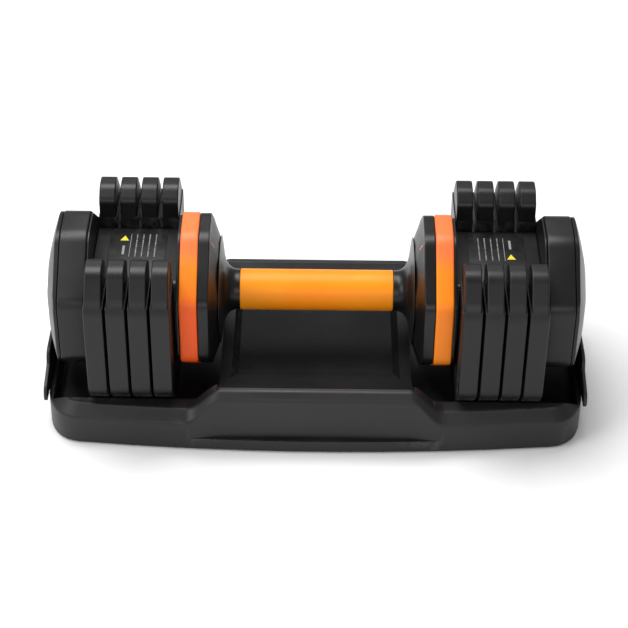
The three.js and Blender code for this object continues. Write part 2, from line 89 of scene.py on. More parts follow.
def insetLoop(loop, distance):
    before = loop - np.roll(loop, 1, axis=0)
    after = np.roll(loop, -1, axis=0) - loop
    before /= np.linalg.norm(before, axis=1)[:, None]
    after /= np.linalg.norm(after, axis=1)[:, None]
    normals = [np.stack([t[:, 1], -t[:, 0]], axis=1) for t in (before, after)]
    middle = normals[0] + normals[1]
    middle /= np.linalg.norm(middle, axis=1)[:, None]
    miter = (middle * normals[0]).sum(axis=1)
    return loop - middle * (distance / np.maximum(miter, 0.5))[:, None]


def circleLike(loop, radius):
    lengths = np.linalg.norm(loop, axis=1)
    return loop / lengths[:, None] * radius


def circlePoints(radius, count=64):
    angles = np.linspace(0, 2 * math.pi, count, endpoint=False)
    return np.column_stack([np.cos(angles), np.sin(angles)]) * radius


def ringAt(loop, x):
    return np.column_stack([np.broadcast_to(x, len(loop)), loop[:, 0], loop[:, 1] + axisHeight])


def quarterRound(steps):
    for step in range(steps + 1):
        angle = math.pi / 2 * step / steps
        yield 1 - math.sin(angle), 1 - math.cos(angle)


def edgeRings(loop, x0, x1, edge, steps=4, hold=0.5):
    rings = [(edge + hold, x0)]
    rings += [(edge * inward, x0 + edge * along) for inward, along in quarterRound(steps)]
    rings += [(inset, x1 + x0 - x) for inset, x in reversed(rings)]
    return [ringAt(insetLoop(loop, inset) if inset else loop, x) for inset, x in rings]


def stackFaces(ringCount, size, closed):
    faces = []
    for i in range(ringCount if closed else ringCount - 1):
        near, far = i * size, (i + 1) % ringCount * size
        for j in range(size):
            k = (j + 1) % size
            faces.append((near + j, near + k, far + k, far + j))
    if not closed:
        faces.append(tuple(reversed(range(size))))
        faces.append(tuple((ringCount - 1) * size + j for j in range(size)))
    return faces


def meshFrom(verts, faces, side=1):
    verts = np.array(verts, float) * mm
    if side < 0:
        verts = verts * (-1, 1, 1)
        faces = [tuple(reversed(face)) for face in faces]
    mesh = bpy.data.meshes.new("shape")
    mesh.from_pydata([tuple(v) for v in verts], [], faces)
    return mesh


def stackMesh(rings, closed=False, side=1):
    return meshFrom(np.concatenate(rings), stackFaces(len(rings), len(rings[0]), closed), side)


def boredPrism(loop, bore, x0, x1, edge, side=1):
    rings = edgeRings(loop, x0, x1, edge)
    inner = circleLike(loop, bore)
    rings = [ringAt(inner, x0)] + rings + [ringAt(inner, x1)]
    return stackMesh(rings, closed=True, side=side)


def lathe(profile, segments=96, side=1):
    angles = np.linspace(0, 2 * math.pi, segments, endpoint=False)
    rings = []
    for radius, x in profile:
        rings.append(ringAt(np.column_stack([np.cos(angles), np.sin(angles)]) * radius, x))
    return stackMesh(rings, closed=True, side=side)


def boxMesh(low, high):
    low, high = np.array(low, float), np.array(high, float)
    corners = [(x, y, z) for x in (low[0], high[0]) for y in (low[1], high[1]) for z in (low[2], high[2])]
    faces = [(0, 1, 3, 2), (4, 6, 7, 5), (0, 4, 5, 1), (2, 3, 7, 6), (0, 2, 6, 4), (1, 5, 7, 3)]
    return meshFrom(corners, faces)


def smooth(mesh, angle=33):
    mesh.polygons.foreach_set("use_smooth", [True] * len(mesh.polygons))
    mesh.set_sharp_from_angle(angle=math.radians(angle))
    mesh.update()


def newPiece(name, mesh, material=None):
    piece = bpy.data.objects.new(name, mesh)
    scene.collection.objects.link(piece)
    if material:
        mesh.materials.clear()
        mesh.materials.append(material)
    return piece


def applyModifiers(piece):
    depsgraph = bpy.context.evaluated_depsgraph_get()
    made = bpy.data.meshes.new_from_object(piece.evaluated_get(depsgraph))
    piece.modifiers.clear()
    piece.data = made


def combine(mesh, others, operation="DIFFERENCE"):
    base = newPiece("base", mesh)
    tools = []
    for other in others:
        tool = newPiece("tool", other)
        change = base.modifiers.new("combine", "BOOLEAN")
        change.operation = operation
        change.solver = "EXACT"
        change.object = tool
        tools.append(tool)
    applyModifiers(base)
    made = base.data
    for piece in [base] + tools:
        bpy.data.objects.remove(piece)
    return made


def bevelled(mesh, width, angle=35, segments=3):
    base = newPiece("base", mesh)
    change = base.modifiers.new("edge", "BEVEL")
    change.width = width * mm
    change.segments = segments
    change.limit_method = "ANGLE"
    change.angle_limit = math.radians(angle)
    change.use_clamp_overlap = True
    change.harden_normals = False
    applyModifiers(base)
    made = base.data
    bpy.data.objects.remove(base)
    return made


def place(name, mesh, body, node, slot, material, sharp=33, even=False):
    smooth(mesh, sharp)
    piece = newPiece(name, mesh, material)
    if even:
        change = piece.modifiers.new("normals", "WEIGHTED_NORMAL")
        change.keep_sharp = True
        applyModifiers(piece)
    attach(piece, body)
    if node:
        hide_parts(*([node] if isinstance(node, str) else node))
    return piece


def shifted(mesh, x):
    made = mesh.copy()
    made.transform(Matrix.Translation((x * mm, 0, 0)))
    return made


def mirroredX(mesh):
    made = mesh.copy()
    made.transform(Matrix.Scale(-1, 4, (1, 0, 0)))
    made.flip_normals()
    return made


# camera, light and floor

cameraSettings = {
    "elevation": 36.38, "yaw": 0.13, "roll": 0.59, "distance": 1.6312,
    "target": (-0.002, 0.0, 0.0662), "lens": 108.42,
}
lightSettings = {
    "skyStrength": 0.34,
    "top": {"size": 1.5, "sizeY": 1.0, "power": 34, "at": (-0.35, 0.45, 1.65), "to": (0.0, 0.0, 0.05)},
    "left": {"size": 0.9, "sizeY": 0.9, "power": 12, "at": (-1.5, -0.8, 1.1), "to": (-0.1, 0.0, 0.08)},
    "front": {"size": 1.6, "sizeY": 0.7, "power": 9, "at": (0.1, -1.9, 0.95), "to": (0.0, 0.0, 0.05)},
}

floorSettings = {
    "half": 6.0, "height": -0.0002, "colour": (0.93, 0.93, 0.93, 1), "roughness": 0.75, "specular": 0.15,
}


def makeCamera():
    camera = bpy.data.objects.new("camera", bpy.data.cameras.new("camera"))
    camera.data.lens = cameraSettings["lens"]
    camera.data.sensor_width = 36
    camera.data.clip_end = 20
    turn = (
        Matrix.Rotation(math.radians(cameraSettings["yaw"]), 4, "Z")
        @ Matrix.Rotation(math.radians(90 - cameraSettings["elevation"]), 4, "X")
        @ Matrix.Rotation(math.radians(cameraSettings["roll"]), 4, "Z")
    )
    back = turn @ Vector((0, 0, cameraSettings["distance"]))
    camera.matrix_world = Matrix.Translation(Vector(cameraSettings["target"]) + back.to_3d()) @ turn
    scene.collection.objects.link(camera)
    scene.camera = camera


def makeLights():
    world = bpy.data.worlds.new("studio")
    scene.world = world
    world.use_nodes = True
    sky = world.node_tree.nodes["Background"]
    sky.inputs["Color"].default_value = (1.0, 1.0, 1.0, 1)
    sky.inputs["Strength"].default_value = lightSettings["skyStrength"]
    for name in ("top", "left", "front"):
        setting = lightSettings[name]
        light = bpy.data.lights.new(name, "AREA")
        light.shape = "RECTANGLE"
        light.size, light.size_y = setting["size"], setting["sizeY"]
        light.energy = setting["power"]
        lamp = bpy.data.objects.new(name, light)
        at, to = Vector(setting["at"]), Vector(setting["to"])
        lamp.matrix_world = Matrix.Translation(at) @ (at - to).to_track_quat("Z", "Y").to_matrix().to_4x4()
        scene.collection.objects.link(lamp)


def makeFloor():
    mesh = bpy.data.meshes.new("floor")
    half, height = floorSettings["half"], floorSettings["height"]
    corners = ((-half, -half), (half, -half), (half, half), (-half, half))
    mesh.from_pydata([(x, y, height) for x, y in corners], [], [(0, 1, 2, 3)])
    material = bpy.data.materials.new("paleFloor")
    material.use_nodes = True
    shader = material.node_tree.nodes["Principled BSDF"]
    shader.inputs["Base Color"].default_value = floorSettings["colour"]
    shader.inputs["Roughness"].default_value = floorSettings["roughness"]
    shader.inputs["Specular IOR Level"].default_value = floorSettings["specular"]
    newPiece("floor", mesh, material)


scene.view_settings.view_transform = "Standard"
makeCamera()
makeLights()
makeFloor()
print("camera, light and floor are set")


# shader groups, built once and used by several finishes

# short calls for making nodes and linking them
class Tree:
    def __init__(self, tree):
        self.tree = tree

    def node(self, kind, **values):
        made = self.tree.nodes.new(kind)
        for key, value in values.items():
            setattr(made, key, value)
        return made

    def link(self, start, end):
        self.tree.links.new(start, end)

    def feed(self, node, name, value):
        socket = node.inputs[name]
        if isinstance(value, bpy.types.NodeSocket):
            self.link(value, socket)
        else:
            socket.default_value = value

    def maths(self, operation, first, second=0.0, third=None, clamp=False):
        made = self.node("ShaderNodeMath", operation=operation, use_clamp=clamp)
        for i, value in enumerate([first, second] + ([] if third is None else [third])):
            self.feed(made, i, value)
        return made.outputs[0]

    def noise(self, vector, scale, detail=3.0, roughness=0.55):
        made = self.node("ShaderNodeTexNoise")
        self.feed(made, "Vector", vector)
        self.feed(made, "Scale", scale)
        made.inputs["Detail"].default_value = detail
        made.inputs["Roughness"].default_value = roughness
        return made.outputs["Fac"]

    def ramp(self, value, low, high, toLow=0.0, toHigh=1.0):
        made = self.node("ShaderNodeMapRange", interpolation_type="SMOOTHSTEP")
        self.feed(made, "Value", value)
        self.feed(made, "From Min", low)
        self.feed(made, "From Max", high)
        self.feed(made, "To Min", toLow)
        self.feed(made, "To Max", toHigh)
        return made.outputs["Result"]

    def blend(self, amount, first, second):
        made = self.node("ShaderNodeMix", data_type="RGBA")
        self.feed(made, 0, amount)
        self.feed(made, 6, first)
        self.feed(made, 7, second)
        return made.outputs[2]


def newGroup(name, amounts, outputs):
    group = bpy.data.node_groups.new(name, "ShaderNodeTree")
    group.interface.new_socket("Vector", in_out="INPUT", socket_type="NodeSocketVector")
    for label, value in amounts.items():
        socket = group.interface.new_socket(label, in_out="INPUT", socket_type="NodeSocketFloat")
        socket.default_value = value
    for label in outputs:
        group.interface.new_socket(label, in_out="OUTPUT", socket_type="NodeSocketFloat")
    tree = Tree(group)
    return tree, tree.node("NodeGroupInput").outputs, tree.node("NodeGroupOutput").inputs, group


def grainGroup():
    tree, given, result, group = newGroup("mouldGrain", {"Scale": 900.0, "Ripple": 0.3}, ["Height", "Tone"])
    cells = tree.node("ShaderNodeTexVoronoi")
    tree.link(given["Vector"], cells.inputs["Vector"])
    tree.link(given["Scale"], cells.inputs["Scale"])
    fine = tree.noise(given["Vector"], tree.maths("MULTIPLY", given["Scale"], 1.7), 2.0)
    pits = tree.ramp(cells.outputs["Distance"], 0.15, 0.7)
    waves = tree.noise(given["Vector"], 26.0, 2.0)
    mixed = tree.maths("ADD", tree.maths("MULTIPLY", pits, 0.6), tree.maths("MULTIPLY", fine, 0.6))
    tree.link(tree.maths("ADD", mixed, tree.maths("MULTIPLY", waves, given["Ripple"])), result["Height"])
    tree.link(tree.ramp(tree.noise(given["Vector"], 11.0, 4.0), 0.3, 0.7), result["Tone"])
    return group


# convex edges made lighter in patches: edge wear together with a painted edge highlight
def edgeWearAndHighlightGroup():
    tree, given, result, group = newGroup("edgeWearAndPaintedHighlight", {"Start": 0.53, "Reach": 0.09}, ["Mask"])
    shape = tree.node("ShaderNodeNewGeometry").outputs["Pointiness"]
    edge = tree.ramp(shape, given["Start"], tree.maths("ADD", given["Start"], given["Reach"]))
    patchy = tree.ramp(tree.noise(given["Vector"], 140.0, 5.0, 0.7), 0.38, 0.62)
    tree.link(tree.maths("MULTIPLY", edge, patchy), result["Mask"])
    return group


def dustGroup():
    tree, given, result, group = newGroup("restingDust", {"Amount": 0.1}, ["Mask"])
    normal = tree.node("ShaderNodeSeparateXYZ")
    tree.link(tree.node("ShaderNodeTexCoord").outputs["Normal"], normal.inputs[0])
    facing = tree.ramp(normal.outputs["Z"], 0.5, 1.0)
    specks = tree.ramp(tree.noise(given["Vector"], 420.0, 6.0, 0.75), 0.5, 0.75)
    clouds = tree.ramp(tree.noise(given["Vector"], 17.0, 3.0), 0.35, 0.75)
    both = tree.maths("ADD", tree.maths("MULTIPLY", specks, 0.7), tree.maths("MULTIPLY", clouds, 0.4))
    settled = tree.maths("MULTIPLY", facing, both)
    tree.link(tree.maths("MULTIPLY", settled, given["Amount"], clamp=True), result["Mask"])
    return group


def scuffGroup():
    tree, given, result, group = newGroup("fineScuffs", {"Scale": 60.0}, ["Mask"])
    total = None
    for turn in (0.35, -0.9, 1.7):
        moved = tree.node("ShaderNodeMapping")
        tree.link(given["Vector"], moved.inputs["Vector"])
        moved.inputs["Rotation"].default_value = (turn, turn * 0.7, turn * 1.3)
        moved.inputs["Scale"].default_value = (0.08, 1.0, 1.0)
        lines = tree.noise(moved.outputs[0], tree.maths("MULTIPLY", given["Scale"], 9.0), 2.0)
        line = tree.ramp(lines, 0.66, 0.72)
        total = line if total is None else tree.maths("MAXIMUM", total, line)
    patch = tree.ramp(tree.noise(given["Vector"], given["Scale"], 2.0), 0.5, 0.68)
    tree.link(tree.maths("MULTIPLY", total, patch), result["Mask"])
    return group


groups = {"grain": grainGroup(), "wearAndHighlight": edgeWearAndHighlightGroup(), "dust": dustGroup(), "scuffs": scuffGroup()}


# finishes

def startFinish(name, shader):
    material = bpy.data.materials.new(name)
    material.use_nodes = True
    tree = Tree(material.node_tree)
    principled = tree.tree.nodes["Principled BSDF"]
    for socket, value in shader.items():
        principled.inputs[socket].default_value = value
    spot = tree.node("ShaderNodeTexCoord").outputs["Object"]
    return material, tree, principled, spot


def useGroup(tree, name, spot, **values):
    made = tree.node("ShaderNodeGroup", node_tree=groups[name])
    tree.link(spot, made.inputs["Vector"])
    for key, value in values.items():
        made.inputs[key].default_value = value
    return made.outputs


dustColour = (0.32, 0.31, 0.30, 1)


# shares of painted light on the ring by height: a redder painted shade low on its front, stronger towards -X,
# and a pinker painted highlight along its top
def paintedLightShares(tree, spot, low, high):
    axes = tree.node("ShaderNodeSeparateXYZ")
    tree.link(spot, axes.inputs[0])
    paintedShadeBelow = tree.ramp(axes.outputs["Z"], low["from"], low["to"], 0.9, 0.0)
    across = tree.ramp(axes.outputs["X"], low["left"], low["right"], 1.0, low["least"])
    paintedHighlightAbove = tree.ramp(axes.outputs["Z"], high["from"], high["to"], 0.0, 0.75)
    return tree.maths("MULTIPLY", paintedShadeBelow, across, clamp=True), paintedHighlightAbove


def mouldedPlastic(name, setting):
    material, tree, principled, spot = startFinish(name, setting["shader"])
    grain = useGroup(tree, "grain", spot, Scale=setting["grain"], Ripple=setting["ripple"])
    wearAndHighlight = useGroup(tree, "wearAndHighlight", spot, Start=setting["wearAndHighlightStart"])
    dust = useGroup(tree, "dust", spot, Amount=setting["dust"])
    scuffs = useGroup(tree, "scuffs", spot, Scale=setting["scuffScale"])
    base = tree.blend(grain["Tone"], setting["dark"], setting["light"])
    # the lighter colour on convex edges is edge wear and painted edge highlight
    withLighterMarks = tree.blend(tree.maths("MULTIPLY", wearAndHighlight["Mask"], setting["wearAndHighlight"]), base, setting["lighterMarkColour"])
    dustAndPaintedLight = tree.blend(dust["Mask"], withLighterMarks, dustColour)
    # only the ring gets painted light here: a redder painted shade low down and a pinker painted highlight
    # high up
    if "low" in setting:
        lower, upper = paintedLightShares(tree, spot, setting["low"], setting["high"])
        dustAndPaintedLight = tree.blend(lower, dustAndPaintedLight, setting["low"]["paintedLightTint"])
        dustAndPaintedLight = tree.blend(upper, dustAndPaintedLight, setting["high"]["paintedLightTint"])
    tree.link(dustAndPaintedLight, principled.inputs["Base Color"])
    low, high = setting["roughness"]
    rough = tree.ramp(grain["Tone"], 0.0, 1.0, low, high)
    rough = tree.maths("ADD", rough, tree.maths("MULTIPLY", scuffs["Mask"], 0.12))
    rough = tree.maths("ADD", rough, tree.maths("MULTIPLY", dust["Mask"], 0.3), clamp=True)
    tree.link(rough, principled.inputs["Roughness"])
    bump = tree.node("ShaderNodeBump")
    bump.inputs["Strength"].default_value = setting["bump"]
    bump.inputs["Distance"].default_value = setting["depth"]
    height = tree.maths("SUBTRACT", grain["Height"], tree.maths("MULTIPLY", scuffs["Mask"], 0.4))
    tree.link(height, bump.inputs["Height"])
    tree.link(bump.outputs[0], principled.inputs["Normal"])
    return material


def colour(red, green, blue):
    return (red, green, blue, 1.0)


def grey(level, blue=None):
    return colour(level, level, level if blue is None else blue)


trayFinish = mouldedPlastic("trayBlackMould", {
    "shader": {"Specular IOR Level": 0.42},
    "dark": grey(0.0065, 0.007), "light": grey(0.0095, 0.010), "lighterMarkColour": grey(0.10),
    "wearAndHighlight": 0.35, "wearAndHighlightStart": 0.54, "dust": 0.05, "grain": 1500.0, "ripple": 0.25, "scuffScale": 34.0,
    "roughness": (0.40, 0.50), "bump": 0.35, "depth": 0.00012,
})
headFinish = mouldedPlastic("headBlackMould", {
    "shader": {"Specular IOR Level": 0.36},
    "dark": grey(0.0035, 0.004), "light": grey(0.0055, 0.006), "lighterMarkColour": grey(0.09),
    "wearAndHighlight": 0.3, "wearAndHighlightStart": 0.54, "dust": 0.03, "grain": 1700.0, "ripple": 0.2, "scuffScale": 48.0,
    "roughness": (0.32, 0.42), "bump": 0.3, "depth": 0.0001,
})
# a darker, duller copy of the tray's black, put on the trough under the grip as painted shade
troughShadeFinish = mouldedPlastic("trayTroughPaintedShade", {
    "shader": {"Specular IOR Level": 0.13},
    "dark": grey(0.003, 0.0033), "light": grey(0.0045, 0.005), "lighterMarkColour": grey(0.05),
    "wearAndHighlight": 0.25, "wearAndHighlightStart": 0.55, "dust": 0.03, "grain": 1500.0, "ripple": 0.2, "scuffScale": 40.0,
    "roughness": (0.38, 0.48), "bump": 0.2, "depth": 0.0001,
})
neckFinish = mouldedPlastic("neckSatinBlack", {
    "shader": {"Specular IOR Level": 0.32, "Coat Weight": 0.04, "Coat Roughness": 0.3},
    "dark": grey(0.004, 0.0045), "light": grey(0.006, 0.0065), "lighterMarkColour": grey(0.06),
    "wearAndHighlight": 0.25, "wearAndHighlightStart": 0.55, "dust": 0.0, "grain": 1900.0, "ripple": 0.15, "scuffScale": 60.0,
    "roughness": (0.28, 0.36), "bump": 0.2, "depth": 0.00008,
})
plateFinish = mouldedPlastic("plateSatinCoat", {
    "shader": {"Specular IOR Level": 0.38},
    "dark": grey(0.004, 0.0045), "light": grey(0.006, 0.0065), "lighterMarkColour": grey(0.13),
    "wearAndHighlight": 0.5, "wearAndHighlightStart": 0.53, "dust": 0.05, "grain": 1300.0, "ripple": 0.45, "scuffScale": 40.0,
    "roughness": (0.34, 0.46), "bump": 0.4, "depth": 0.00013,
})
ringFinish = mouldedPlastic("ringOrange", {
    "shader": {"Specular IOR Level": 0.25},
    "dark": colour(0.96, 0.24, 0.012), "light": colour(1.0, 0.285, 0.016),
    "lighterMarkColour": colour(1.0, 0.34, 0.12),
    # painted light: the low tint is a redder painted shade, the high tint a pinker painted highlight
    "low": {"paintedLightTint": colour(1.0, 0.105, 0.018), "from": 0.112, "to": 0.136,
            "left": -0.05, "right": 0.05, "least": 0.06},
    "high": {"paintedLightTint": colour(1.0, 0.165, 0.065), "from": 0.138, "to": 0.153},
    "wearAndHighlight": 0.35, "wearAndHighlightStart": 0.54, "dust": 0.0, "grain": 1600.0, "ripple": 0.15, "scuffScale": 50.0,
    "roughness": (0.36, 0.44), "bump": 0.18, "depth": 0.00008,
})
rubberFinish = mouldedPlastic("footRubber", {
    "shader": {"Specular IOR Level": 0.3},
    "dark": grey(0.012), "light": grey(0.018), "lighterMarkColour": grey(0.05),
    "wearAndHighlight": 0.3, "wearAndHighlightStart": 0.55, "dust": 0.08, "grain": 900.0, "ripple": 0.6, "scuffScale": 30.0,
    "roughness": (0.75, 0.9), "bump": 0.5, "depth": 0.0002,
})


def turnedMetal(name, setting):
    material, tree, principled, spot = startFinish(name, setting["shader"])
    stretched = tree.node("ShaderNodeMapping")
    tree.link(spot, stretched.inputs["Vector"])
    stretched.inputs["Scale"].default_value = setting["stretch"]
    lines = tree.noise(stretched.outputs[0], setting["lineScale"], 4.0, 0.6)
    tone = tree.noise(spot, 14.0, 3.0)
    scuffs = useGroup(tree, "scuffs", spot, Scale=setting["scuffScale"])
    base = tree.blend(tree.ramp(tone, 0.3, 0.7), setting["dark"], setting["light"])
    withLighterMarks = tree.blend(tree.maths("MULTIPLY", scuffs["Mask"], 0.25), base, setting["lighterMarkColour"])
    tree.link(withLighterMarks, principled.inputs["Base Color"])
    low, high = setting["roughness"]
    tree.link(tree.ramp(lines, 0.3, 0.7, low, high), principled.inputs["Roughness"])
    bump = tree.node("ShaderNodeBump")
    bump.inputs["Strength"].default_value = setting["bump"]
    bump.inputs["Distance"].default_value = 0.00005
    tree.link(lines, bump.inputs["Height"])
    tree.link(bump.outputs[0], principled.inputs["Normal"])
    return material


gripFinish = turnedMetal("gripOrangeSatin", {
    "shader": {"Metallic": 0.0, "Specular IOR Level": 0.22},
    "dark": colour(1.0, 0.27, 0.006), "light": colour(1.0, 0.32, 0.010),
    "lighterMarkColour": colour(1.0, 0.42, 0.06),
    "stretch": (1.0, 0.03, 0.03), "lineScale": 2600.0, "scuffScale": 60.0,
    "roughness": (0.34, 0.46), "bump": 0.12,
})
steelFinish = turnedMetal("turnedSteel", {
    "shader": {"Metallic": 1.0},
    "dark": colour(0.42, 0.43, 0.45), "light": colour(0.56, 0.57, 0.58),
    "lighterMarkColour": grey(0.7),
    "stretch": (1.0, 0.04, 0.04), "lineScale": 1800.0, "scuffScale": 80.0,
    "roughness": (0.25, 0.4), "bump": 0.2,
})


def plainInk(name, base, rough):
    material, tree, principled, spot = startFinish(name, {"Specular IOR Level": 0.4})
    fibres = tree.noise(spot, 900.0, 3.0)
    darker = colour(*(0.82 * c for c in base[:3]))
    tree.link(tree.blend(fibres, base, darker), principled.inputs["Base Color"])
    tree.link(tree.ramp(fibres, 0.3, 0.7, rough, rough + 0.12), principled.inputs["Roughness"])
    return material


filmFinish = mouldedPlastic("labelFilm", {
    "shader": {"Specular IOR Level": 0.5},
    "dark": grey(0.004, 0.0045), "light": grey(0.006, 0.0065), "lighterMarkColour": grey(0.06),
    "wearAndHighlight": 0.2, "wearAndHighlightStart": 0.55, "dust": 0.02, "grain": 2200.0, "ripple": 0.3, "scuffScale": 70.0,
    "roughness": (0.30, 0.38), "bump": 0.12, "depth": 0.00006,
})
whiteInk = plainInk("labelWhite", grey(0.30), 0.5)
yellowInk = plainInk("labelYellow", colour(0.85, 0.72, 0.03), 0.45)
pointerInk = plainInk("pointerPink", colour(0.85, 0.30, 0.24), 0.4)
print("finishes are made")


# sizes that the outlines share, in millimetres

headShape = {
    "sideFlat": 57.0, "topFlat": 36.0, "corner": 7.0, "rimRadius": 46.0, "slope": 6.9, "flangeInset": 0.7,
    "slopeEase": 28.0,
}
plateShape = {
    "sideFlat": 85.4, "drop": 80.0, "top": 68.0, "corner": 9.0, "lobeWidth": 37.0, "lobeTopFlat": 17.0,
    "mouthDepth": 9.0, "slotHalf": 44.0, "slotBottom": -28.0, "lobeThickness": 13.9, "lobeInset": 0.05,
    "edge": 1.2,
    "seat": {"back": 5.3, "front": 6.3, "half": 10.3, "depth": 3.9, "rise": 20.0},
}


def headLoop(inset=0.0, steps=8):
    side, top = headHalf["side"] - inset, headHalf["top"] - inset
    sideHalf = headShape["sideFlat"] / 2 - inset * 0.4
    topHalf = headShape["topFlat"] / 2 - inset * 0.4
    corners = [
        (side, -sideHalf), (side, sideHalf), (topHalf, top), (-topHalf, top),
        (-side, sideHalf), (-side, -sideHalf), (-topHalf, -top), (topHalf, -top),
    ]
    return roundedLoop(corners, headShape["corner"], steps)


def blendLoops(first, second, share):
    return first * (1 - share) + second * share


# grip and necks

gripSettings = {"endRound": 0.9, "steps": 8, "segments": 128}


def buildGrip():
    low, high = gripLow[0], gripHigh[0]
    bore = tubeRadius + boreRoom
    edge = gripSettings["endRound"]
    profile = [(bore, low)]
    for inward, along in quarterRound(gripSettings["steps"]):
        profile.append((gripRadius - edge * inward, low + edge * along))
    for share in (0.2, 0.4, 0.6, 0.8):
        profile.append((gripRadius, low + edge + (high - low - 2 * edge) * share))
    for along, inward in quarterRound(gripSettings["steps"]):
        profile.append((gripRadius - edge * inward, high - edge * along))
    profile.append((bore, high))
    mesh = lathe(profile, gripSettings["segments"])
    place("gripSleeve", mesh, "twist_handle", "grip_sleeve", "grip_orange", gripFinish)


neckSettings = {
    "flare": [  # share of the way out, share of the way along
        (0, 0), (0.01, 0.25), (0.06, 0.45), (0.14, 0.6),
        (0.27, 0.73), (0.45, 0.82), (0.75, 0.9), (0.97, 0.96),
    ],
    "perStep": 6, "rimRound": 0.45, "segments": 144,
}


def smoothThrough(points, perStep):
    points = [np.array(p, float) for p in points]
    points = [2 * points[0] - points[1]] + points + [2 * points[-1] - points[-2]]
    made = []
    for before, start, end, after in zip(points, points[1:], points[2:], points[3:]):
        for step in range(perStep):
            t = step / perStep
            made.append(0.5 * (
                2 * start + (end - before) * t + (2 * before - 5 * start + 4 * end - after) * t * t
                + (3 * start - before - 3 * end + after) * t ** 3
            ))
    made.append(points[-2])
    return made


def buildNeck(side, sign):
    low, high = spanOf("dial_neck_right")
    start, end = low[0], high[0]
    first, rim = gripRadius - 0.3, high[1]
    bore = tubeRadius + boreRoom
    profile = [(bore, start)]
    for out, along in smoothThrough(neckSettings["flare"], neckSettings["perStep"]):
        profile.append((first + max(out, 0.0) * (rim - first), start + along * (end - start)))
    edge = neckSettings["rimRound"]
    profile += [(rim - 0.25 * edge, end - edge), (rim, end - 0.5 * edge), (rim, end - 0.1), (rim - 0.4, end)]
    profile += [(bore + 6, end), (bore, end)]
    mesh = lathe(profile, neckSettings["segments"], sign)
    place("dialNeck." + side, mesh, "twist_handle", "dial_neck_" + side, "black_plastic", neckFinish, 40)


# flange, ring, inner plates, end weight and cover of a head

flangeSettings = {"edge": 1.1, "steps": 5, "backEdge": 0.7}
ringSettings = {"inset": 0.0, "edge": 1.6}
weightSettings = {"edge": 1.3, "recess": 7.3, "pitRadius": 14.5}
coverSettings = {"edge": 1.0, "edgeHeight": 1.5, "rings": 12, "middle": 1.5, "inset": 0.6, "reach": 5.0}
backPlateSettings = {"inset": 2.5, "edge": 0.5}
innerCapSettings = {"inset": 2.0, "edge": 0.4}


def slopeAt(radius, start):
    run, full = headShape["slope"], headHalf["side"]
    rise = (radius - headShape["rimRadius"]) / (full - headShape["rimRadius"]) * run
    return start + np.minimum(rise, run + np.maximum(radius - full, 0) / headShape["slopeEase"])


def buildFlange(side, sign):
    low, high = spanOf("flange_housing_right")
    start, end = low[0], high[0]
    loop = headLoop(headShape["flangeInset"])
    bore = bushRadius + boreRoom
    edge, back = flangeSettings["edge"], flangeSettings["backEdge"]
    rim = headShape["rimRadius"]
    circle = circleLike(loop, rim)
    rings = [ringAt(circleLike(loop, bore), start), ringAt(circleLike(loop, rim - 1), start)]
    rings.append(ringAt(circleLike(loop, rim + 0.3), start + 0.1))
    inner = insetLoop(loop, edge + 0.7)
    for share in (0.25, 0.5, 0.75, 1.0):
        ring = blendLoops(circle, inner, share)
        rings.append(ringAt(ring, slopeAt(np.linalg.norm(ring, axis=1), start)))
    top = slopeAt(np.linalg.norm(loop, axis=1), start)
    for step in range(flangeSettings["steps"] + 1):
        share = step / flangeSettings["steps"]
        ring = insetLoop(loop, edge * (1 - share) ** 2) if step < flangeSettings["steps"] else loop
        radius = np.linalg.norm(ring, axis=1)
        rings.append(ringAt(ring, slopeAt(radius, start) * (1 - share ** 2) + (top + edge) * share ** 2))
    rings.append(ringAt(loop, top + edge + 0.5))
    rings.append(ringAt(loop, end - back - 0.5))
    for along, inward in quarterRound(3):
        rings.append(ringAt(insetLoop(loop, back * inward), end - back * along))
    rings.append(ringAt(insetLoop(loop, back + 0.6), end))
    rings.append(ringAt(circleLike(loop, bore), end))
    mesh = stackMesh(rings, closed=True, side=sign)
    place("flangeHousing." + side, mesh, "core", "flange_housing_" + side, "black_plastic", headFinish)


def buildBored(name, node, side, sign, bore, setting, slot, finish):
    low, high = spanOf(node + "_right")
    mesh = boredPrism(headLoop(setting["inset"]), bore, low[0], high[0], setting["edge"], sign)
    place(name + "." + side, mesh, "core", node + "_" + side, slot, finish)


def buildEndWeight(side, sign):
    low, high = spanOf("end_weight_right")
    loop = headLoop()
    recess = weightSettings["recess"]
    rings = edgeRings(loop, low[0], high[0], weightSettings["edge"])
    bore, pit = circleLike(loop, shaftRadius + boreRoom), circleLike(loop, weightSettings["pitRadius"])
    rings = [ringAt(bore, low[0])] + rings
    rings += [ringAt(pit, high[0]), ringAt(pit, high[0] - recess), ringAt(bore, high[0] - recess)]
    mesh = stackMesh(rings, closed=True, side=sign)
    place("endWeight." + side, mesh, "core", "end_weight_" + side, "black_coating", plateFinish)


